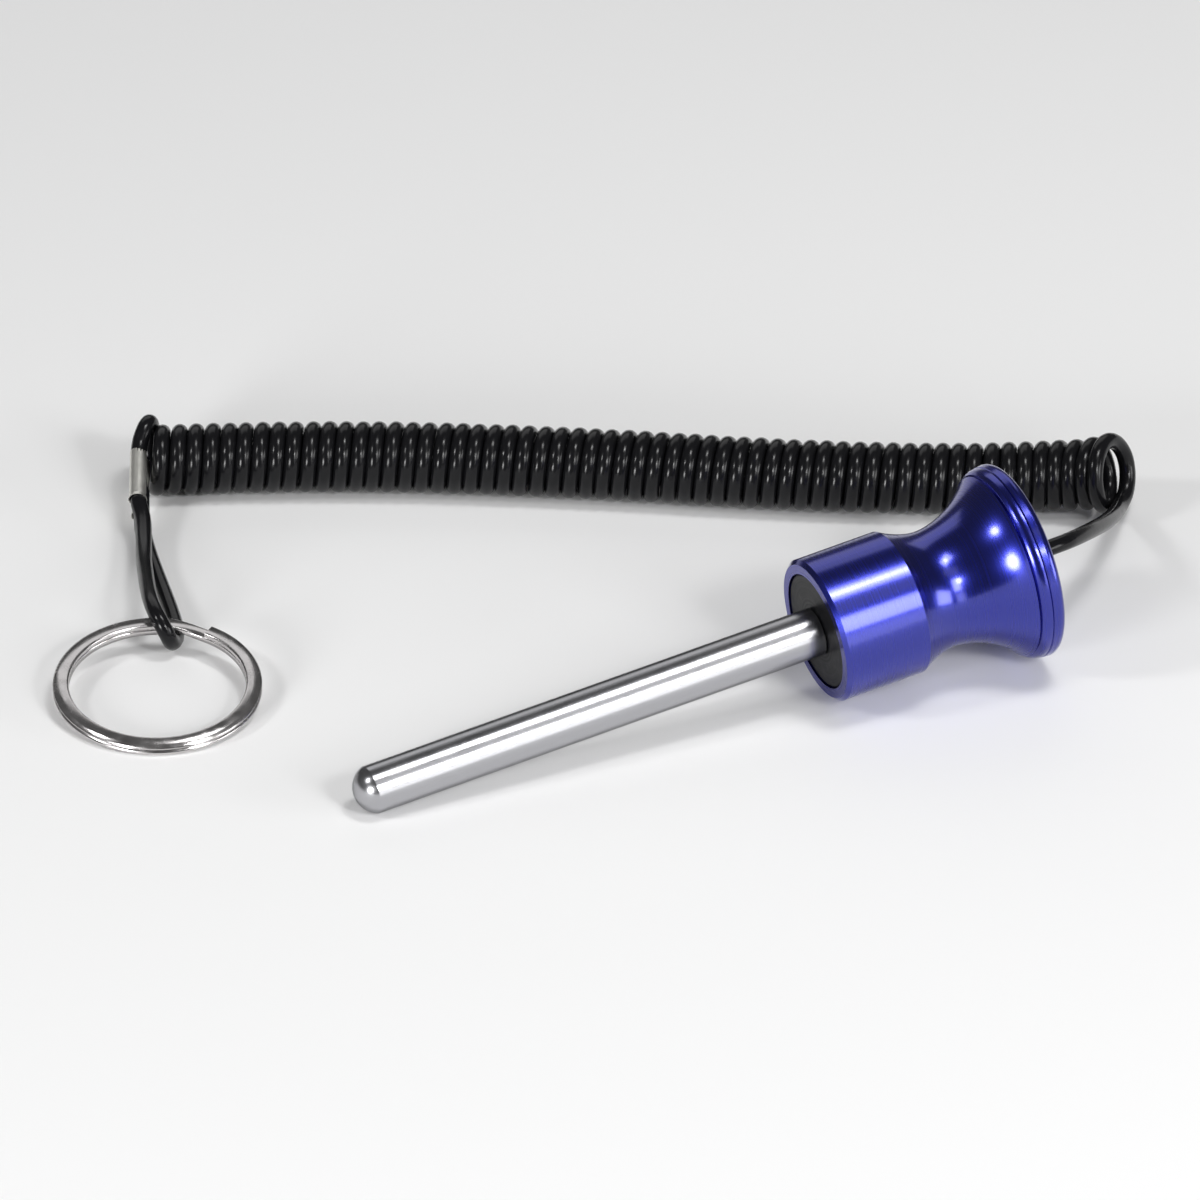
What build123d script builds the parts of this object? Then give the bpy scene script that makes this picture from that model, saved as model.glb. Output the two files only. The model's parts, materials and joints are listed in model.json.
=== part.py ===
from build123d import *

import os
from math import asin, atan2, cos, degrees, hypot, pi, radians, sin, tan

# Weight stack selector pin: a steel pin in a turned aluminium knob with a ring magnet in its
# mouth, on a coiled lanyard that ends in a crimped loop and a split ring.
# Millimetres, +Z up. The pin lies on its knob's rim and its own tip, with its axis in the
# XZ plane and the knob towards +X. The origin is under the middle of the pin's own length.

# ---------------------------------------------------------------- driving dimensions
# Pin. Places along it are measured from the knob's front face, positive into the knob.
shaft_radius = 4.75
shaft_reach = 98.0  # tip to the knob's front face
nose_radius = 5.05  # of the domed tip, a little more than the shaft's, so a faint edge shows
shaft_grip = 27.0  # length held inside the knob
shaft_end_chamfer = 0.6
stub_radius = 4.0  # of the pin's inner end, behind the shoulder that seats on the magnet
shoulder_chamfer = 0.3

# Knob: straight skirt, waist, flare, bead and rounded rim, with a low dome for its back.
skirt_radius = 14.3
skirt_length = 17.5
skirt_chamfer = 0.8
shoulder_slope = 31.0  # degrees, where the skirt turns down to the waist
shoulder_handle = 2.1
waist_radius = 11.65
waist_place = 25.6
waist_handle_front = 3.05
waist_handle_back = 4.4
flare_radius = 18.2
flare_place = 39.1
flare_slope = 51.0  # degrees, where the flare reaches the bead
flare_handle = 5.0
groove_depth = 0.3
groove_width = 0.5
bead_radius = 19.2
bead_place = 41.4
bead_bulge = 0.16
fine_groove_depth = 0.15
fine_groove_width = 0.35
rim_radius = 19.45
rim_place = 42.8
rim_round = 1.5
rim_round_end = 14.0  # degrees above the axis direction, where the rim meets the dome
dome_rise = 2.96

# Ring magnet in the knob's mouth.
magnet_radius = 11.55
magnet_thickness = 5.0
magnet_set_back = 0.3
magnet_edge = 0.35
magnet_glue_gap = 0.05
magnet_bore_clearance = 0.1

# Cord, and the hole and chamber in the knob that hold its end.
cord_radius = 1.6
cord_hole_clearance = 0.1
cord_hole_mouth = 0.6
stop_radius = 3.2
stop_length = 6.0
stop_edge = 0.4
stop_clearance = 0.25
chamber_length = 9.0
lead_straight = 5.0  # straight stretch of cord outside the knob

# Coil of the cord, lying on the surface behind the pin.
coil_radius = 7.0
lanyard_heading = 25.6  # degrees between the pin and the coil, seen from above

# Ferrule: a figure-eight sleeve with one barrel for each strand of the end loop.
barrel_radius = 1.64
barrel_bore = 1.42  # the crimp squeezes the cord's jacket
barrel_drop = 3.2  # from the upper barrel to the lower one
barrel_shift = 0.55  # of the lower barrel, along the lanyard
waist_width = 1.9
ferrule_length = 12.0
ferrule_slope = 18.0  # degrees
ferrule_mouth = (-173.5, 41.0, 6.6)  # centre of the upper barrel's mouth
lower_reach = 1.4  # the lower barrel's mouth is that much nearer the ring
bell_length = 0.8
bell_radius = 1.86
bell_bore = 1.7
tail_stub = 0.8

# Split ring: two turns of flat wire that step from one layer to the other.
ring_radius = 20.1
ring_wire_width = 3.1
ring_layer = 1.22
ring_wire_round = 0.58
ring_step_from = 91.0  # degrees round the ring, 90 is its far side
ring_step_to = 59.0
ring_step_sections = 7
wrap_radius = 3.7  # of the cord's middle line where it goes round the ring's wire
wrap_across = -167.6  # of the wire inside the loop, along the lanyard
wrap_place = -3.25  # of the wire inside the loop, across the lanyard
wrap_offset = 0.9  # from the ring's middle to the loop

# ---------------------------------------------------------------- how the pin lies
rim_centre_radius = rim_radius - rim_round
nose_middle = nose_radius - shaft_reach
nose_set_back = (nose_radius**2 - shaft_radius**2) ** 0.5
nose_edge = nose_middle - nose_set_back
rest_span = rim_place - nose_edge
rest_drop = rim_centre_radius - shaft_radius
pin_tilt = atan2(rest_drop, rest_span) + asin(rim_round / hypot(rest_drop, rest_span))
axis_dir = Vector(cos(pin_tilt), 0, sin(pin_tilt))

dome_edge_place = rim_place + rim_round * cos(radians(rim_round_end))
dome_edge_radius = rim_centre_radius + rim_round * sin(radians(rim_round_end))
knob_back = dome_edge_place + dome_rise
dome_radius = (dome_edge_radius**2 + dome_rise**2) / (2 * dome_rise)
back_reach = (knob_back - dome_radius) * cos(pin_tilt) + dome_radius
tip_reach = -nose_middle * cos(pin_tilt) + nose_radius
front_height = shaft_radius * cos(pin_tilt) - nose_edge * sin(pin_tilt)
front_centre = Vector((tip_reach - back_reach) / 2, 0, front_height)

pin_axis = Axis(front_centre, axis_dir)
section = Plane(origin=front_centre, x_dir=axis_dir, z_dir=(0, -1, 0))
cord_exit = front_centre + axis_dir * knob_back

# ---------------------------------------------------------------- knob
recess_radius = magnet_radius + magnet_glue_gap
recess_depth = magnet_set_back + magnet_thickness
cord_hole_radius = cord_radius + cord_hole_clearance
chamber_end = shaft_grip + chamber_length
shoulder_dir = (cos(radians(shoulder_slope)), -sin(radians(shoulder_slope)))
flare_dir = (cos(radians(flare_slope)), sin(radians(flare_slope)))
bead_start = (flare_place + groove_width, flare_radius + groove_width * 0.5)
fine_groove_end = (bead_place + fine_groove_width, bead_radius + 0.1)
bead_crown = (
    (bead_start[0] + bead_place) / 2 - bead_bulge,
    (bead_start[1] + bead_radius) / 2 + bead_bulge,
)

with BuildPart() as knob:
    with BuildSketch(section) as knob_outline:
        with BuildLine() as turned_profile:
            Polyline(
                (0, 0),
                (0, skirt_radius - skirt_chamfer),
                (skirt_chamfer, skirt_radius),
                (skirt_length, skirt_radius),
            )
            Bezier(
                (skirt_length, skirt_radius),
                (skirt_length + shoulder_handle * shoulder_dir[0], skirt_radius + shoulder_handle * shoulder_dir[1]),
                (waist_place - waist_handle_front, waist_radius),
                (waist_place, waist_radius),
            )
            Bezier(
                (waist_place, waist_radius),
                (waist_place + waist_handle_back, waist_radius),
                (flare_place - flare_handle * flare_dir[0], flare_radius - flare_handle * flare_dir[1]),
                (flare_place, flare_radius),
            )
            Polyline(
                (flare_place, flare_radius),
                (flare_place + groove_width / 2, flare_radius - groove_depth),
                bead_start,
            )
            ThreePointArc(bead_start, bead_crown, (bead_place, bead_radius))
            Polyline(
                (bead_place, bead_radius),
                (bead_place + fine_groove_width / 2, bead_radius - fine_groove_depth),
                fine_groove_end,
            )
            rim_arc = CenterArc(
                (rim_place, rim_centre_radius), rim_round, rim_round_end, 90 - rim_round_end
            )
            Line(fine_groove_end, rim_arc @ 1)
            ThreePointArc(
                (dome_edge_place, dome_edge_radius),
                (
                    knob_back - dome_radius + (dome_radius**2 - (dome_edge_radius / 2) ** 2) ** 0.5,
                    dome_edge_radius / 2,
                ),
                (knob_back, 0),
            )
            Line((knob_back, 0), (0, 0))
        make_face()
    revolve(axis=pin_axis)
    with BuildSketch(section) as knob_hollow:
        with BuildLine():
            Polyline(
                (0, 0),
                (0, recess_radius),
                (recess_depth, recess_radius),
                (recess_depth, stub_radius),
                (shaft_grip, stub_radius),
                (shaft_grip, stop_radius + stop_clearance),
                (chamber_end, stop_radius + stop_clearance),
                (chamber_end, cord_hole_radius),
                (knob_back - cord_hole_mouth, cord_hole_radius),
                (knob_back, cord_hole_radius + cord_hole_mouth),
                (knob_back, 0),
                close=True,
            )
        make_face()
    revolve(axis=pin_axis, mode=Mode.SUBTRACT)
knob.part.label = "knob"

# ---------------------------------------------------------------- ring magnet
with BuildPart() as ring_magnet:
    with BuildSketch(section):
        with BuildLine():
            Polyline(
                (magnet_set_back, stub_radius + magnet_bore_clearance),
                (magnet_set_back, magnet_radius - magnet_edge),
                (magnet_set_back + magnet_edge, magnet_radius),
                (recess_depth, magnet_radius),
                (recess_depth, stub_radius + magnet_bore_clearance),
                close=True,
            )
        make_face()
    revolve(axis=pin_axis)
ring_magnet.part.label = "ring_magnet"

# ---------------------------------------------------------------- shaft
with BuildPart() as shaft:
    with BuildSketch(section):
        with BuildLine():
            ThreePointArc(
                (nose_edge, shaft_radius),
                (nose_middle - nose_radius * 0.8, nose_radius * 0.6),
                (-shaft_reach, 0),
            )
            Polyline(
                (nose_edge, shaft_radius),
                (magnet_set_back - shoulder_chamfer, shaft_radius),
                (magnet_set_back, shaft_radius - shoulder_chamfer),
                (magnet_set_back, stub_radius),
                (shaft_grip - shaft_end_chamfer, stub_radius),
                (shaft_grip, stub_radius - shaft_end_chamfer),
                (shaft_grip, 0),
                (-shaft_reach, 0),
            )
        make_face()
    revolve(axis=pin_axis)
shaft.part.label = "shaft"

# ---------------------------------------------------------------- stop on the cord's inner end
stop_start = chamber_end - stop_length

with BuildPart() as cord_stop:
    with BuildSketch(section):
        with BuildLine():
            Polyline(
                (stop_start, cord_radius),
                (stop_start, stop_radius - stop_edge),
                (stop_start + stop_edge, stop_radius),
                (chamber_end - stop_edge, stop_radius),
                (chamber_end, stop_radius - stop_edge),
                (chamber_end, cord_radius),
                close=True,
            )
        make_face()
    revolve(axis=pin_axis)
cord_stop.part.label = "cord_stop"

# ---------------------------------------------------------------- the lanyard's own frame
# X runs along the coil, Y away from the pin and Z up, from the point under the cord's exit.
lanyard = Plane(
    origin=(cord_exit.X, cord_exit.Y, 0),
    x_dir=(cos(radians(lanyard_heading)), -sin(radians(lanyard_heading)), 0),
    z_dir=(0, 0, 1),
)


def laid(points):
    """Points of the lanyard's frame, in the part's frame."""
    return [lanyard.from_local_coords(Vector(*point)) for point in points]


def corner_radii(route):
    """The largest arc at each corner that its two runs leave room for."""
    radii = []
    for before, corner, after in zip(route, route[1:], route[2:]):
        arriving = corner - before
        leaving = after - corner
        half_turn = radians(arriving.get_angle(leaving)) / 2
        shorter = min(arriving.length, leaving.length)
        radii.append(0.45 * shorter / tan(half_turn))
    return radii


def report(name, tube, path, radius):
    """Compare a tube's volume with its section times its length."""
    length = sum(edge.length for edge in path.edges())
    expected = pi * radius**2 * length
    print(f"{name}: length {length:.1f}, volume {tube.volume:.1f}, expected {expected:.1f}")


# ---------------------------------------------------------------- cord from the knob to the coil
lead_route = [
    cord_exit - axis_dir * (knob_back - stop_start),
    cord_exit + axis_dir * lead_straight,
] + laid([(10.6, 14.5, 16.4), (16.4, 35.5, 5.4), (19.6, 50.6, 2.9), (18.4, 51.8, 12.0), (11.0, 48.0, 9.0)])
lead_radii = corner_radii(lead_route)
print("lead radii", [round(radius, 1) for radius in lead_radii])

with BuildPart() as cord_lead:
    with BuildLine() as lead_path:
        FilletPolyline(*lead_route, radius=lead_radii)
    with BuildSketch(Plane(origin=lead_path.line @ 0, z_dir=lead_path.line % 0)):
        Circle(cord_radius)
    sweep()
cord_lead.part.label = "cord_lead"
report("cord_lead", cord_lead.part, lead_path.line, cord_radius)

# ---------------------------------------------------------------- coil, as its outer shape
coil_route = laid(
    [
        (-171.1, 54.9, coil_radius),
        (-139.0, 57.1, coil_radius),
        (-90.0, 54.5, coil_radius),
        (-46.0, 49.3, coil_radius),
        (-13.0, 47.8, coil_radius),
        (8.2, 49.2, coil_radius + 0.2),
        (15.6, 46.3, coil_radius + 2.1),
    ]
)
coil_radii = corner_radii(coil_route)
print("coil radii", [round(radius, 1) for radius in coil_radii])

with BuildPart() as cord_coil:
    with BuildLine() as coil_path:
        FilletPolyline(*coil_route, radius=coil_radii)
    with BuildSketch(Plane(origin=coil_path.line @ 0, z_dir=coil_path.line % 0)):
        Circle(coil_radius)
    sweep()
cord_coil.part.label = "cord_coil"
report("cord_coil", cord_coil.part, coil_path.line, coil_radius)

# ---------------------------------------------------------------- ferrule
along_ferrule = Vector(0, cos(radians(ferrule_slope)), sin(radians(ferrule_slope)))
under_ferrule = Vector(0, sin(radians(ferrule_slope)), -cos(radians(ferrule_slope)))
upper_mouth = Vector(*ferrule_mouth)
lower_mouth = upper_mouth + under_ferrule * barrel_drop + Vector(barrel_shift, 0, 0) - along_ferrule * lower_reach


def in_lanyard(direction):
    """A direction of the lanyard's frame, in the part's frame."""
    return lanyard.x_dir * direction.X + lanyard.y_dir * direction.Y + lanyard.z_dir * direction.Z


ferrule_plane = Plane(
    origin=lanyard.from_local_coords(upper_mouth),
    x_dir=in_lanyard(under_ferrule),
    z_dir=in_lanyard(along_ferrule),
)
lower_barrel = (barrel_drop, -barrel_shift)
waist_middle = (barrel_drop / 2, -barrel_shift / 2)
waist_turn = -degrees(atan2(barrel_shift, barrel_drop))

with BuildPart() as ferrule:
    with BuildSketch(ferrule_plane):
        with Locations((0, 0), lower_barrel):
            Circle(barrel_radius)
        with Locations(waist_middle):
            Rectangle(barrel_drop, waist_width, rotation=waist_turn)
    extrude(amount=ferrule_length)
    with BuildSketch(ferrule_plane):
        with Locations(lower_barrel):
            Circle(barrel_radius)
    extrude(amount=-lower_reach)
    for place in ((0, 0, 0), (*lower_barrel, -lower_reach)):
        with Locations(ferrule_plane.offset(place[2])):
            with Locations((place[0], place[1], 0)):
                Cone(bell_radius, barrel_radius, bell_length, align=(Align.CENTER, Align.CENTER, Align.MIN))
                Cone(
                    bell_bore,
                    barrel_bore,
                    bell_length,
                    align=(Align.CENTER, Align.CENTER, Align.MIN),
                    mode=Mode.SUBTRACT,
                )
    with BuildSketch(ferrule_plane.offset(-lower_reach)):
        with Locations((0, 0), lower_barrel):
            Circle(barrel_bore)
    extrude(amount=ferrule_length + lower_reach, mode=Mode.SUBTRACT)
print("ferrule solids", len(ferrule.solids()), "volume", round(ferrule.part.volume, 1))
ferrule.part.label = "ferrule"

# ---------------------------------------------------------------- end loop of the cord
wrap_height = wrap_radius + cord_radius
wrap_front = wrap_place - wrap_radius
wrap_top = wrap_height + wrap_radius

above_ferrule = upper_mouth + along_ferrule * (ferrule_length + 0.5)
below_mouth = upper_mouth - along_ferrule * 0.5
tail_approach = lower_mouth - along_ferrule * 0.5
tail_end = lower_mouth + along_ferrule * (lower_reach + ferrule_length + tail_stub)

loop_route = laid(
    [
        (-168.6, 61.0, 7.5),
        (-171.3, 59.2, 13.8),
        tuple(above_ferrule),
        tuple(below_mouth),
        (-172.3, 33.0, 4.2),
        (-171.6, 17.0, 5.2),
        (-171.0, 1.0, 9.0),
        (wrap_across - 0.8, wrap_front, wrap_top),
        (wrap_across + 1.7, wrap_front, cord_radius),
        (-166.2, 4.0, cord_radius),
        (-171.6, 30.0, cord_radius),
        tuple(tail_approach),
        tuple(tail_end),
    ]
)
loop_radii = corner_radii(loop_route)
print("loop radii", [round(radius, 1) for radius in loop_radii])

with BuildPart() as cord_loop:
    with BuildLine() as loop_path:
        FilletPolyline(*loop_route, radius=loop_radii)
    with BuildSketch(Plane(origin=loop_path.line @ 0, z_dir=loop_path.line % 0)):
        Circle(cord_radius)
    sweep()
cord_loop.part.label = "cord_loop"
report("cord_loop", cord_loop.part, loop_path.line, cord_radius)

# ---------------------------------------------------------------- split ring
# Its near side lies on the surface and its far side is held up inside the cord's loop.
ring_mean_radius = ring_radius - ring_wire_width / 2
ring_middle = wrap_across - wrap_offset
wrap_reach = (ring_mean_radius**2 - wrap_offset**2) ** 0.5
ring_span = ring_radius - ring_wire_round + wrap_reach
ring_half = ring_layer - ring_wire_round
ring_tilt = asin((wrap_height - ring_wire_round) / hypot(ring_span, ring_half)) - atan2(ring_half, ring_span)
ring_up = Vector(0, cos(ring_tilt), sin(ring_tilt))
ring_centre = Vector(ring_middle, wrap_place, wrap_height) - ring_up * wrap_reach

ring_plane = Plane(
    origin=lanyard.from_local_coords(ring_centre),
    x_dir=lanyard.x_dir,
    z_dir=in_lanyard(Vector(0, -sin(ring_tilt), cos(ring_tilt))),
)
ring_axis = Axis(ring_plane.origin, ring_plane.z_dir)


def across_wire(angle):
    """The plane across the ring's wire at an angle round the ring, X outwards."""
    outwards = ring_plane.x_dir * cos(radians(angle)) + ring_plane.y_dir * sin(radians(angle))
    return Plane(origin=ring_plane.origin, x_dir=outwards, z_dir=outwards.cross(ring_plane.z_dir))


with BuildPart() as split_ring:
    with BuildSketch(across_wire(ring_step_from)):
        with Locations((ring_mean_radius, ring_layer / 2), (ring_mean_radius, -ring_layer / 2)):
            RectangleRounded(ring_wire_width, ring_layer, ring_wire_round)
    revolve(axis=ring_axis, revolution_arc=360 - (ring_step_from - ring_step_to))
    for index in range(ring_step_sections):
        share = index / (ring_step_sections - 1)
        angle = ring_step_from + share * (ring_step_to - ring_step_from)
        level = ring_layer / 2 * cos(pi * share)
        with BuildSketch(across_wire(angle)):
            with Locations((ring_mean_radius, level)):
                RectangleRounded(ring_wire_width, ring_layer, ring_wire_round)
    loft()
split_ring.part.label = "split_ring"

# ---------------------------------------------------------------- written out, one file a piece
os.makedirs("parts", exist_ok=True)
pieces = [knob, ring_magnet, shaft, cord_stop, cord_lead, cord_coil, ferrule, cord_loop, split_ring]
for piece in pieces:
    export_step(piece.part, f"parts/{piece.part.label}.step")

print("pin tilt", round(degrees(pin_tilt), 3), "front centre", front_centre, "knob back", round(knob_back, 4))
print("axis", axis_dir, "cord exit", cord_exit)
print("lanyard origin", lanyard.origin, "ring centre", ring_plane.origin)
print("ring tilt", round(degrees(ring_tilt), 3))
wrap_point = lanyard.from_local_coords(Vector(wrap_across, wrap_place, wrap_height))
print("ring pivot", wrap_point)
print("pin middle", front_centre + axis_dir * (nose_edge / 2), "pin length", -nose_edge, "ring axis", ring_plane.z_dir)
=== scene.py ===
# %% [markdown]
# # A weight stack pin on its coiled lanyard
#
# A selector pin picks how many plates of a weight machine move: its steel shaft goes through the
# chosen plate and a magnet in the knob's mouth holds it there. A coiled cord keeps it from being
# lost, and a split ring ties that cord to the machine.
#
# The rigid pieces arrive as a finished model and only need their finishes here. The cord arrives
# as plain tubes, so it is the one piece that this file shapes itself.

import json
from math import cos, exp, floor, pi, radians, sin

import bmesh
import bpy
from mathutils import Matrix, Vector


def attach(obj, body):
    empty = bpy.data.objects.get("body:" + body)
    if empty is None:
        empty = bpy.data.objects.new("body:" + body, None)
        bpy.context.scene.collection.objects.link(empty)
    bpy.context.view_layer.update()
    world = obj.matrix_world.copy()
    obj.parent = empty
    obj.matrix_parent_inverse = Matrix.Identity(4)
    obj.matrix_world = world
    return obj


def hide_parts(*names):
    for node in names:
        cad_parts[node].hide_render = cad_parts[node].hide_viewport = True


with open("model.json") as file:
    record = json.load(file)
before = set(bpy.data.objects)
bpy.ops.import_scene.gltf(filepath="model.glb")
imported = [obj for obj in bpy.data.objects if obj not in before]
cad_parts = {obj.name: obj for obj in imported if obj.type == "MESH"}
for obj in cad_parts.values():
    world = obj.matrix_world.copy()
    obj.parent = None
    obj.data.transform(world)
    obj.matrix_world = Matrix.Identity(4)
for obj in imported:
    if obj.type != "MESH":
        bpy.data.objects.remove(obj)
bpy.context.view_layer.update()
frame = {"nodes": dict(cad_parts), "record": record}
nodes = frame["nodes"]
mounts = {mount["name"]: mount for mount in frame["record"]["mounts"]}
MM = 0.001

# %% [markdown]
# ## The pin's own directions
#
# The pin leans a little, because it lies on its knob's wide rim and on its own tip. Every piece of
# the pin is round about one line, so that line is worked out once: it runs along the pin mount's
# axis, which points to the tip. Patterns that follow the turning marks use the same line.

# %% Find the pin's line
knob_depth = 47.2154 * MM
pin_dir = -Vector(mounts["pin"]["axis"]).normalized()
pin_middle = Vector(mounts["pin"]["pos_m"])
face_distance = (Vector(mounts["knob_face"]["pos_m"]) - pin_middle).dot(pin_dir)
front_centre = pin_middle + pin_dir * face_distance
cord_exit = front_centre + pin_dir * knob_depth
print("front of the knob in mm:", [round(v / MM, 2) for v in front_centre])
print("cord exit in mm:", [round(v / MM, 2) for v in cord_exit])

# %% [markdown]
# ## The camera
#
# A long lens from some metres away keeps the pin's sides nearly parallel, as in a catalogue
# view. It looks down at about a third of a right angle, across the pin, so that the round back of
# the flare, the face with the magnet and the eye of the split ring all show.

# %% Place the camera
view_azimuth = radians(-25.6)
view_elevation = radians(32.0)
view_target = Vector((-3.9, 35.0, 10.0)) * MM
view_distance = 3.85

camera_data = bpy.data.cameras.new("camera")
camera_data.lens = 600
camera_data.sensor_width = 36
camera_data.clip_start = 0.5
camera_data.clip_end = 30
camera = bpy.data.objects.new("camera", camera_data)
bpy.context.scene.collection.objects.link(camera)
back = Vector(
    (
        sin(view_azimuth) * cos(view_elevation),
        -cos(view_azimuth) * cos(view_elevation),
        sin(view_elevation),
    )
)
camera.location = view_target + back * view_distance
camera.rotation_mode = "QUATERNION"
camera.rotation_quaternion = (-back).to_track_quat("-Z", "Y")
bpy.context.scene.camera = camera

# %% [markdown]
# ## The cord's route
#
# The cord is one length of coated cable, 3.2 mm thick. It leaves the middle of the knob's back,
# drops to the surface, winds into a close coil of 58 turns, and ends in a loop that a crimped
# sleeve closes round the split ring. Its route is easiest to write in a frame of its own that runs
# along the coil, so the few points below are in that frame, in millimetres, and one helper lays
# them in the model.

# %% The lanyard's frame
cord_radius = 1.6 * MM
coil_radius = 7.0 * MM
lanyard_heading = radians(25.6)
along = Vector((cos(lanyard_heading), -sin(lanyard_heading), 0))
away = Vector((sin(lanyard_heading), cos(lanyard_heading), 0))
up = Vector((0, 0, 1))
lanyard_origin = Vector((cord_exit.x, cord_exit.y, 0))


def laid(x, y, z):
    """A point of the lanyard's frame, given in millimetres, in the model's frame."""
    return lanyard_origin + (along * x + away * y + up * z) * MM


# %% [markdown]
# ## The coil's middle line
#
# The coil lies in a slow S behind the pin, and the stiff cord from the knob turns and lifts its
# last few turns. Its middle line is a smooth NURBS curve through a few control points. Blender
# turns it into a chain of points here, so that the winding can follow it at an even pitch.

# %% Read the coil's middle line
coil_middle = [
    laid(16.4, 46.0, 9.5),
    laid(8.2, 49.2, 7.2),
    laid(-13.0, 47.8, 7.0),
    laid(-46.0, 49.3, 7.0),
    laid(-90.0, 54.5, 7.0),
    laid(-139.0, 57.1, 7.0),
    laid(-171.3, 54.9, 7.0),
]


def nurbs_curve(name, points):
    """An open NURBS curve that starts and ends at its end points."""
    data = bpy.data.curves.new(name, "CURVE")
    data.dimensions = "3D"
    spline = data.splines.new("NURBS")
    spline.points.add(len(points) - 1)
    for control, point in zip(spline.points, points):
        control.co = (*point, 1.0)
        control.radius = cord_radius
    spline.order_u = 3
    spline.use_endpoint_u = True
    curve = bpy.data.objects.new(name, data)
    bpy.context.scene.collection.objects.link(curve)
    return curve


guide = nurbs_curve("coil_guide", coil_middle)
guide.data.resolution_u = 48
guide_mesh = bpy.data.meshes.new_from_object(guide)
middle_line = [v.co.copy() for v in guide_mesh.vertices]
bpy.data.objects.remove(guide)
bpy.data.meshes.remove(guide_mesh)
middle_length = sum((b - a).length for a, b in zip(middle_line, middle_line[1:]))
print("coil length in mm:", round(middle_length / MM, 1))

# %% [markdown]
# ## Winding the coil
#
# The turns lie against each other, so the pitch is close to the cord's own thickness, and a little
# more over the first turns, which the lead fans out. The coil is left-handed: going away from the
# knob, the cord climbs the back, crosses the top and comes down the front. Sixteen control points
# make a turn. A NURBS curve runs a little inside its control points, so they stand out by that
# share. The first turn is wider than the rest, and so is the rise out of the last one. The turns
# also differ by a few hundredths of a millimetre, as a heat-set winding's do.

# %% Wind the coil
points_per_turn = 16
control_stand_out = 1 / cos(pi / points_per_turn)
winding_radius = (coil_radius - cord_radius) * control_stand_out
turns = 58
first_angle = -0.25  # turns, counted from the back of the coil
last_angle = turns + 0.02
fan_out = 1.0 * MM  # by how much the first turns spread along the coil
fan_turns = 4
wide_share = 0.19  # of the first turn's extra width, which fades out
wide_from = 0.35
wide_fade = 1.3
rise_share = 0.2  # of the last part turn's extra width
rise_turns = 0.2
line_end = 0.9999  # as near the middle line's end as the winding goes


def on_middle_line(distance):
    """The point at a distance along the coil's middle line, and its direction there."""
    for a, b in zip(middle_line, middle_line[1:]):
        step = (b - a).length
        if distance <= step:
            break
        distance -= step
    return a.lerp(b, distance / step), (b - a).normalized()


def turn_width(turned):
    """How much wider than the rest of the coil a turn is."""
    first_turn = wide_share * min(1, max(0, 1 - (turned - wide_from) / wide_fade))
    last_rise = rise_share * max(0, (turned - (turns - rise_turns)) / rise_turns)
    return 1 + first_turn + last_rise


winding = []
count = floor((last_angle - first_angle) * points_per_turn)
for index in range(count + 1):
    turned = first_angle + index / points_per_turn
    even_place = (middle_length - fan_out) * turned / turns
    place = even_place + fan_out * (1 - exp(-max(turned, 0) / fan_turns))
    place += (sin(turned * 0.9) * 0.06 + sin(turned * 2.3 + 1.0) * 0.05) * MM
    centre, heading = on_middle_line(min(max(place, 0), middle_length * line_end))
    to_back = heading.cross(up).normalized()
    to_top = to_back.cross(heading)
    if to_top.z < 0:
        to_top.negate()
    angle = turned * 2 * pi
    radius = winding_radius * turn_width(turned) - (1 + sin(turned * 1.7)) * 0.03 * MM
    winding.append(centre + (to_back * cos(angle) + to_top * sin(angle)) * radius)
print("turns:", turns, "control points:", len(winding))

# %% [markdown]
# ## Both free ends
#
# From the knob the cord falls in an easy curve to the surface and rises into the first turn, which
# stands a little open. At the other end it leaves the top of the last turn, runs down through the
# upper barrel of the sleeve, goes round the ring's wire and comes back along the surface into the
# lower barrel, where it is cut off.

# %% Make the cord
ferrule_slope = radians(18.0)
barrel_drop = 3.2 * MM
barrel_shift = 0.55 * MM
lower_reach = 1.4 * MM
to_ring = -away * cos(ferrule_slope) - up * sin(ferrule_slope)
under = away * sin(ferrule_slope) - up * cos(ferrule_slope)
upper_mouth = laid(-173.5, 41.0, 6.6)
lower_mouth = upper_mouth + under * barrel_drop + along * barrel_shift + to_ring * lower_reach

from_knob = [
    cord_exit - pin_dir * 17.0 * MM,
    cord_exit + pin_dir * 4.5 * MM,
    laid(7.6, 7.4, 18.5),
    laid(11.0, 15.5, 15.3),
    laid(14.2, 26.0, 10.6),
    laid(16.2, 36.0, 6.2),
    laid(17.0, 41.5, 4.0),
]
to_ring_and_back = [
    laid(-171.3, 61.4, 9.8),
    laid(-171.1, 60.3, 12.1),
    laid(-171.6, 58.2, 13.9),
    laid(-172.6, 55.9, 13.1),
    upper_mouth - to_ring * 13.6 * MM,
    upper_mouth - to_ring * 6.4 * MM,
    upper_mouth + to_ring * 0.5 * MM,
    laid(-172.3, 37.0, 4.9),
    laid(-172.1, 29.0, 4.3),
    laid(-171.9, 21.0, 4.9),
    laid(-171.3, 13.0, 6.3),
    laid(-170.7, 5.0, 7.9),
    laid(-169.7, -2.2, 8.9),
    laid(-168.1, -6.0, 7.9),
    laid(-166.6, -6.7, 4.9),
    laid(-165.9, -5.0, 2.2),
    laid(-164.9, 0.2, 1.6),
    laid(-167.3, 12.0, 1.6),
    laid(-170.3, 25.0, 1.6),
    laid(-172.0, 33.0, 2.0),
    lower_mouth + to_ring * 0.5 * MM,
    lower_mouth - to_ring * 14.2 * MM,
]
cord = nurbs_curve("lanyard_cord", from_knob + winding + to_ring_and_back)
cord.data.resolution_u = 3
cord.data.bevel_depth = 1.0
cord.data.bevel_resolution = 6
cord.data.use_fill_caps = True
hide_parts("cord_lead", "cord_coil", "cord_loop")
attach(cord, "pin")

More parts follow.
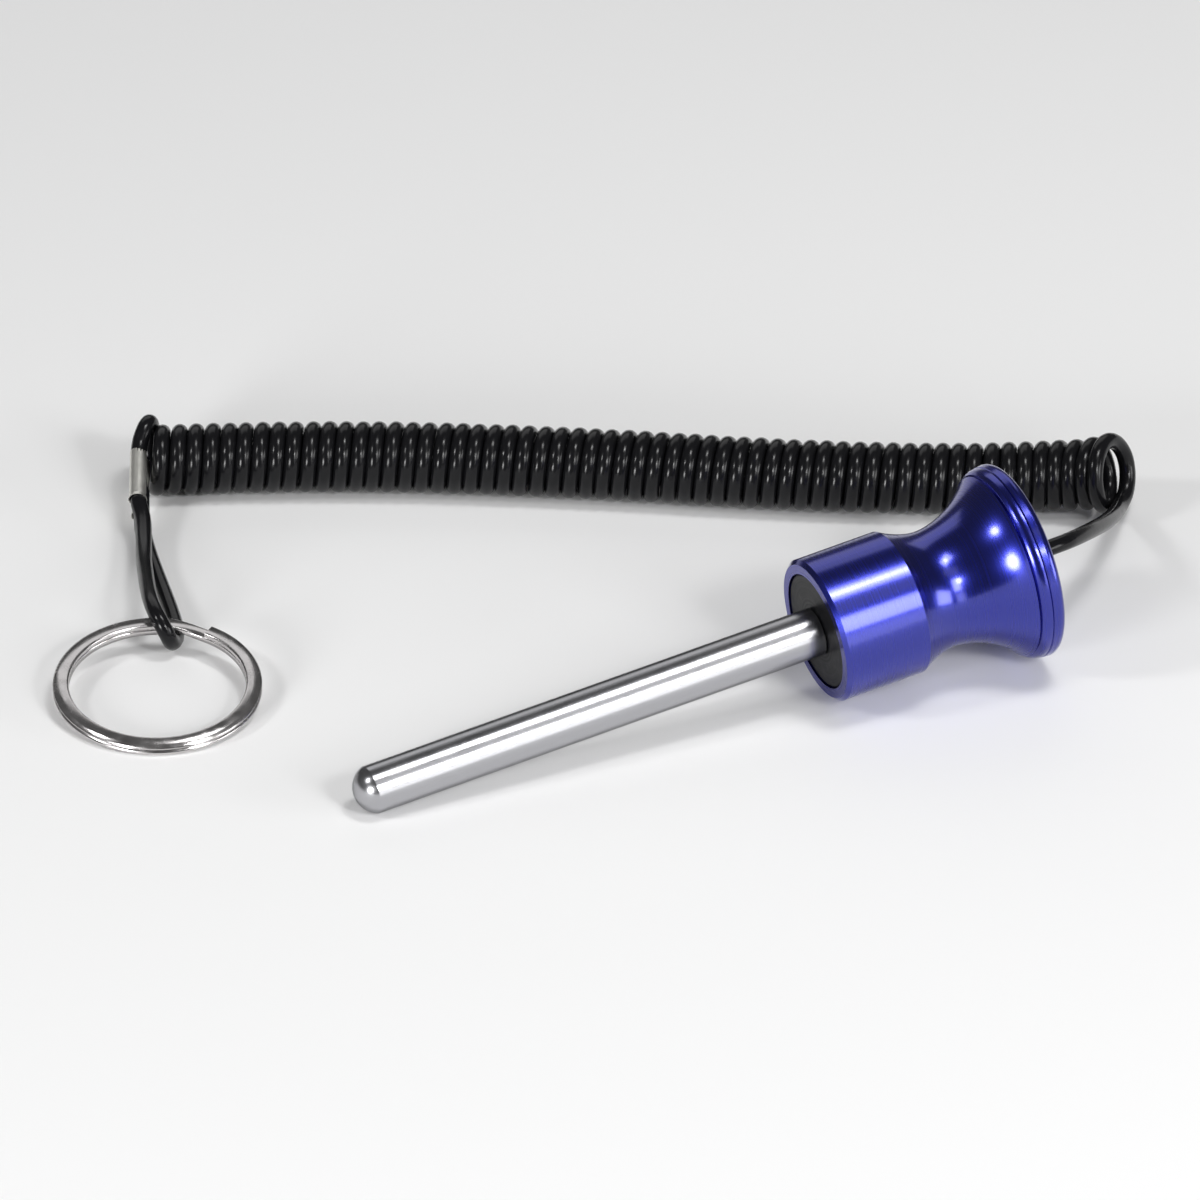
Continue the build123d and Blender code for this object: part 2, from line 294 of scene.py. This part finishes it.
# %% [markdown]
# ## Finishes
#
# Every finish is a small node tree on Object coordinates. The helpers below start a material with
# its shader and add a node with its settings, so that each finish reads as a short list of steps.


# %% Helpers for materials
def new_material(name, metallic, colour=None):
    """A material with its metal share and colour set, its node tree, and its shader node."""
    material = bpy.data.materials.new(name)
    material.use_nodes = True
    tree = material.node_tree
    shader = tree.nodes["Principled BSDF"]
    shader.inputs["Metallic"].default_value = metallic
    if colour is not None:
        shader.inputs["Base Color"].default_value = (*colour, 1)
    return material, tree, shader


def add(tree, kind, **settings):
    """A new node of a kind, with some of its settings."""
    node = tree.nodes.new(kind)
    for setting, value in settings.items():
        setattr(node, setting, value)
    return node


def vector_step(tree, operation, first, second=None):
    """One step of vector arithmetic. The second value is a plain vector."""
    step = add(tree, "ShaderNodeVectorMath", operation=operation)
    tree.links.new(first, step.inputs[0])
    if second is not None:
        step.inputs[1].default_value = second
    return step


def dress(piece, material):
    """Put one material on every slot of a piece."""
    if not piece.material_slots:
        piece.data.materials.append(material)
    for slot in piece.material_slots:
        slot.material = material


# %% [markdown]
# ### Rings about a line
#
# A turned piece carries fine rings left by the tool, all about its own axis, on its sides and on
# its flat faces alike. Each point's distance along the axis plus its distance from the axis is the
# same all the way round, so a one-dimensional noise of that sum draws such rings on any turned
# shape.


# %% Ring patterns
def ring_distance(tree, centre, direction, outward_share=1.0):
    """Distance along a line plus a share of the distance from it, for every point of a surface."""
    place = add(tree, "ShaderNodeTexCoord")
    offset = vector_step(tree, "SUBTRACT", place.outputs["Object"], centre)
    lengthwise = vector_step(tree, "DOT_PRODUCT", offset.outputs["Vector"], direction)
    sideways = vector_step(tree, "CROSS_PRODUCT", offset.outputs["Vector"], direction)
    outward = vector_step(tree, "LENGTH", sideways.outputs["Vector"])
    total = add(tree, "ShaderNodeMath", operation="MULTIPLY_ADD")
    total.inputs[1].default_value = outward_share
    tree.links.new(outward.outputs["Value"], total.inputs[0])
    tree.links.new(lengthwise.outputs["Value"], total.inputs[2])
    return total.outputs["Value"]


def noise_rings(tree, distance, rings_per_mm, detail):
    """Noise that changes only with the ring distance."""
    noise = add(tree, "ShaderNodeTexNoise", noise_dimensions="1D")
    noise.inputs["Scale"].default_value = rings_per_mm / MM
    noise.inputs["Detail"].default_value = detail
    tree.links.new(distance, noise.inputs["W"])
    return noise.outputs["Fac"]


def noise_spots(tree, spots_per_mm, detail):
    """Noise that changes in every direction."""
    place = add(tree, "ShaderNodeTexCoord")
    noise = add(tree, "ShaderNodeTexNoise")
    noise.inputs["Scale"].default_value = spots_per_mm / MM
    noise.inputs["Detail"].default_value = detail
    tree.links.new(place.outputs["Object"], noise.inputs["Vector"])
    return noise.outputs["Fac"]


def spread(tree, value, low, high):
    """Stretch a noise value, which stays mostly between 0.3 and 0.7, over a range."""
    ramp = add(tree, "ShaderNodeMapRange")
    ramp.inputs["From Min"].default_value = 0.3
    ramp.inputs["From Max"].default_value = 0.7
    ramp.inputs["To Min"].default_value = low
    ramp.inputs["To Max"].default_value = high
    tree.links.new(value, ramp.inputs["Value"])
    return ramp.outputs["Result"]


def raise_surface(tree, shader, height, depth, normal=None):
    """Bump the shader's surface by a height from 0 to 1, at a real depth."""
    bump = add(tree, "ShaderNodeBump")
    bump.inputs["Strength"].default_value = 1.0
    bump.inputs["Distance"].default_value = depth
    tree.links.new(height, bump.inputs["Height"])
    if normal is not None:
        tree.links.new(normal, bump.inputs["Normal"])
    tree.links.new(bump.outputs["Normal"], shader.inputs["Normal"])
    return bump.outputs["Normal"]


# %% [markdown]
# ### Anodised blue
#
# The knob is turned aluminium with a dyed, sealed oxide skin. Under the clear skin the metal is a
# saturated blue mirror, so the metal gets the colour and a clear coat on top gives the white
# glints. A dark tint at grazing angles deepens its edges. The tool's rings show only as a soft
# change of gloss and a very shallow bump.

# %% Dress the knob
anodised, tree, shader = new_material("anodised_blue", 1.0, (0.010, 0.018, 0.32))
shader.inputs["Coat Weight"].default_value = 1.0
shader.inputs["Coat Roughness"].default_value = 0.17
shader.inputs["Specular Tint"].default_value = (0.35, 0.35, 0.6, 1)
shader.inputs["Coat IOR"].default_value = 1.6
knob_rings = ring_distance(tree, front_centre, pin_dir)
fine_rings = noise_rings(tree, knob_rings, 1.6, 3.0)
tree.links.new(spread(tree, fine_rings, 0.23, 0.29), shader.inputs["Roughness"])
raise_surface(tree, shader, fine_rings, 0.0001 * MM)
dress(nodes["knob"], anodised)

# %% [markdown]
# ### Black magnet
#
# The ring magnet is pressed powder with a thin black skin of a low gloss. Its face was lapped flat,
# which leaves faint rings, and it holds a little grey dust.

# %% Dress the magnet
magnet_black, tree, shader = new_material("magnet_black", 0.0)
shader.inputs["Specular IOR Level"].default_value = 0.1
lapping = noise_rings(tree, ring_distance(tree, front_centre, pin_dir), 2.4, 4.0)
tree.links.new(spread(tree, lapping, 0.28, 0.38), shader.inputs["Roughness"])
dust = add(tree, "ShaderNodeValToRGB")
dust.color_ramp.elements[0].position = 0.52
dust.color_ramp.elements[0].color = (0.004, 0.004, 0.005, 1)
dust.color_ramp.elements[1].position = 0.74
dust.color_ramp.elements[1].color = (0.020, 0.020, 0.019, 1)
tree.links.new(noise_spots(tree, 0.5, 5.0), dust.inputs["Fac"])
tree.links.new(dust.outputs["Color"], shader.inputs["Base Color"])
raise_surface(tree, shader, lapping, 0.002 * MM)
dress(nodes["ring_magnet"], magnet_black)

# %% [markdown]
# ### Ground steel
#
# The shaft is hard chromed steel, ground round between centres. Grinding leaves very fine rings,
# and sliding in and out of plates leaves a few faint scuffs, which show as patches of duller gloss.
# Its reflections darken towards its sides.

# %% Dress the shaft
pin_steel, tree, shader = new_material("pin_steel", 1.0, (0.46, 0.46, 0.48))
shader.inputs["Specular Tint"].default_value = (0.5, 0.5, 0.5, 1)
grinding = noise_rings(tree, ring_distance(tree, front_centre, pin_dir), 3.0, 2.0)
scuffs = noise_spots(tree, 0.16, 6.0)
gloss = add(tree, "ShaderNodeMath", operation="MULTIPLY_ADD")
gloss.inputs[1].default_value = 0.35
tree.links.new(grinding, gloss.inputs[0])
tree.links.new(scuffs, gloss.inputs[2])
tree.links.new(spread(tree, gloss.outputs["Value"], 0.14, 0.24), shader.inputs["Roughness"])
raise_surface(tree, shader, grinding, 0.0006 * MM)
dress(nodes["shaft"], pin_steel)

# %% [markdown]
# ### Crimped sleeve
#
# The sleeve is soft drawn aluminium, squeezed by a tool. Its skin is satin, and the squeeze leaves
# shallow dents that bend its reflections.

# %% Dress the sleeve and the stop
crimp_metal, tree, shader = new_material("crimp_metal", 1.0, (0.80, 0.79, 0.74))
grain = noise_spots(tree, 1.5, 3.0)
tree.links.new(spread(tree, grain, 0.38, 0.46), shader.inputs["Roughness"])
dents = raise_surface(tree, shader, noise_spots(tree, 0.22, 1.0), 0.25 * MM)
raise_surface(tree, shader, grain, 0.0008 * MM, dents)
dress(nodes["ferrule"], crimp_metal)
dress(nodes["cord_stop"], crimp_metal)

# %% [markdown]
# ### Split ring
#
# The ring is flat spring wire wound twice and nickel plated. Rolling leaves lines along the wire,
# which are rings about the ring's own axis, and keys or hooks rub patches of it duller. Its flat
# faces are slightly crowned: the bump falls away with the square of the distance from the middle of
# the wire, so that each face draws a narrow bright line in place of a flat one.

# %% Dress the split ring
ring_centre = Vector(mounts["key_ring"]["pos_m"])
ring_axis = Vector(mounts["key_ring"]["axis"]).normalized()
ring_mean_radius = 18.55 * MM
crown_height = 0.13 * MM
ring_steel, tree, shader = new_material("ring_steel", 1.0, (0.62, 0.60, 0.60))
rubbed = noise_spots(tree, 0.35, 5.0)
tree.links.new(spread(tree, rubbed, 0.13, 0.30), shader.inputs["Roughness"])
ring_place = ring_distance(tree, ring_centre, ring_axis, 0.8)
rolling = raise_surface(tree, shader, noise_rings(tree, ring_place, 1.4, 3.0), 0.010 * MM)
across = ring_distance(tree, ring_centre, ring_axis, 1.0)
crown = add(tree, "ShaderNodeMapRange")
crown.inputs["From Min"].default_value = ring_mean_radius
crown.inputs["From Max"].default_value = ring_mean_radius + 1.0 * MM
crown.clamp = False
tree.links.new(across, crown.inputs["Value"])
fall = add(tree, "ShaderNodeMath", operation="MULTIPLY")
tree.links.new(crown.outputs["Result"], fall.inputs[0])
tree.links.new(crown.outputs["Result"], fall.inputs[1])
raise_surface(tree, shader, fall.outputs["Value"], -crown_height, rolling)
dress(nodes["split_ring"], ring_steel)

# %% [markdown]
# ### Cord jacket
#
# The jacket is extruded black plastic, smooth and glossy with a slight orange peel, which breaks
# each lamp's glint on the turns into a short bright dash. Its own colour is close to black.

# %% Dress the cord
jacket, tree, shader = new_material("cord_jacket", 0.0, (0.006, 0.006, 0.007))
shader.inputs["Specular IOR Level"].default_value = 0.25
peel = noise_spots(tree, 0.8, 1.0)
tree.links.new(spread(tree, noise_spots(tree, 0.3, 4.0), 0.16, 0.24), shader.inputs["Roughness"])
raise_surface(tree, shader, peel, 0.02 * MM)
dress(cord, jacket)

# %% [markdown]
# ## Floor and light
#
# The floor is a plain pale sheet. A box overhead and a tall one in front, which is brighter in its
# upper half, draw the bright bands along the shaft and the skirt, with a dark gap between them. The
# round lamps over the part and in front make the small glints on the waist and the flare, and the
# two at the left make those on every turn of the coil. A box at the right lights the flare's side,
# a wide dim panel fills the front, and another behind lifts the far edges.

# %% Lay the floor
floor_mesh = bpy.data.meshes.new("floor")
sheet = bmesh.new()
bmesh.ops.create_grid(sheet, x_segments=1, y_segments=1, size=3.0)
sheet.to_mesh(floor_mesh)
sheet.free()
floor_sheet = bpy.data.objects.new("floor", floor_mesh)
bpy.context.scene.collection.objects.link(floor_sheet)

floor_paint, tree, shader = new_material("floor_paint", 0.0, (0.88, 0.88, 0.88))
shader.inputs["Roughness"].default_value = 0.9
dress(floor_sheet, floor_paint)


# %% Set the lights
lamp_aim = Vector((0, 0, 0.01))


def soft_light(name, place, size, radiance, shape="RECTANGLE"):
    """A flat lamp that faces the part, with its two side lengths in metres."""
    data = bpy.data.lights.new(name, "AREA")
    data.shape = shape
    data.size, data.size_y = size
    area = size[0] * size[1] * (pi / 4 if shape == "ELLIPSE" else 1)
    data.energy = radiance * pi * area
    lamp = bpy.data.objects.new(name, data)
    bpy.context.scene.collection.objects.link(lamp)
    lamp.location = place
    lamp.rotation_mode = "QUATERNION"
    lamp.rotation_quaternion = (lamp_aim - Vector(place)).to_track_quat("-Z", "Y")
    return lamp


soft_light("overhead_box", (0.24, -0.15, 1.10), (0.28, 0.42), 8.5)
soft_light("overhead_lamp", (0.24, -0.16, 1.08), (0.12, 0.12), 24, "ELLIPSE")
soft_light("front_box_upper", (0.28, -0.98, 0.62), (0.32, 0.46), 8)
soft_light("front_box_lower", (0.30, -1.10, 0.16), (0.32, 0.34), 2.4)
soft_light("front_lamp", (0.13, -0.90, 0.69), (0.15, 0.15), 34, "ELLIPSE")
soft_light("front_fill", (0.3, -0.62, 1.05), (0.6, 0.34), 0.7)
soft_light("right_box", (0.84, -0.80, 0.27), (0.50, 0.42), 6)
soft_light("left_lamp", (-1.03, -0.52, 0.28), (0.36, 0.36), 23, "ELLIPSE")
soft_light("left_high_lamp", (-0.91, 0.11, 0.78), (0.19, 0.19), 30, "ELLIPSE")
soft_light("back_panel", (0.3, 1.05, 0.74), (1.2, 0.72), 0.8)

world = bpy.data.worlds.new("world")
bpy.context.scene.world = world
world.use_nodes = True
world.node_tree.nodes["Background"].inputs["Color"].default_value = (1, 1, 1, 1)
world.node_tree.nodes["Background"].inputs["Strength"].default_value = 0.10

bpy.context.scene.view_settings.view_transform = "Standard"
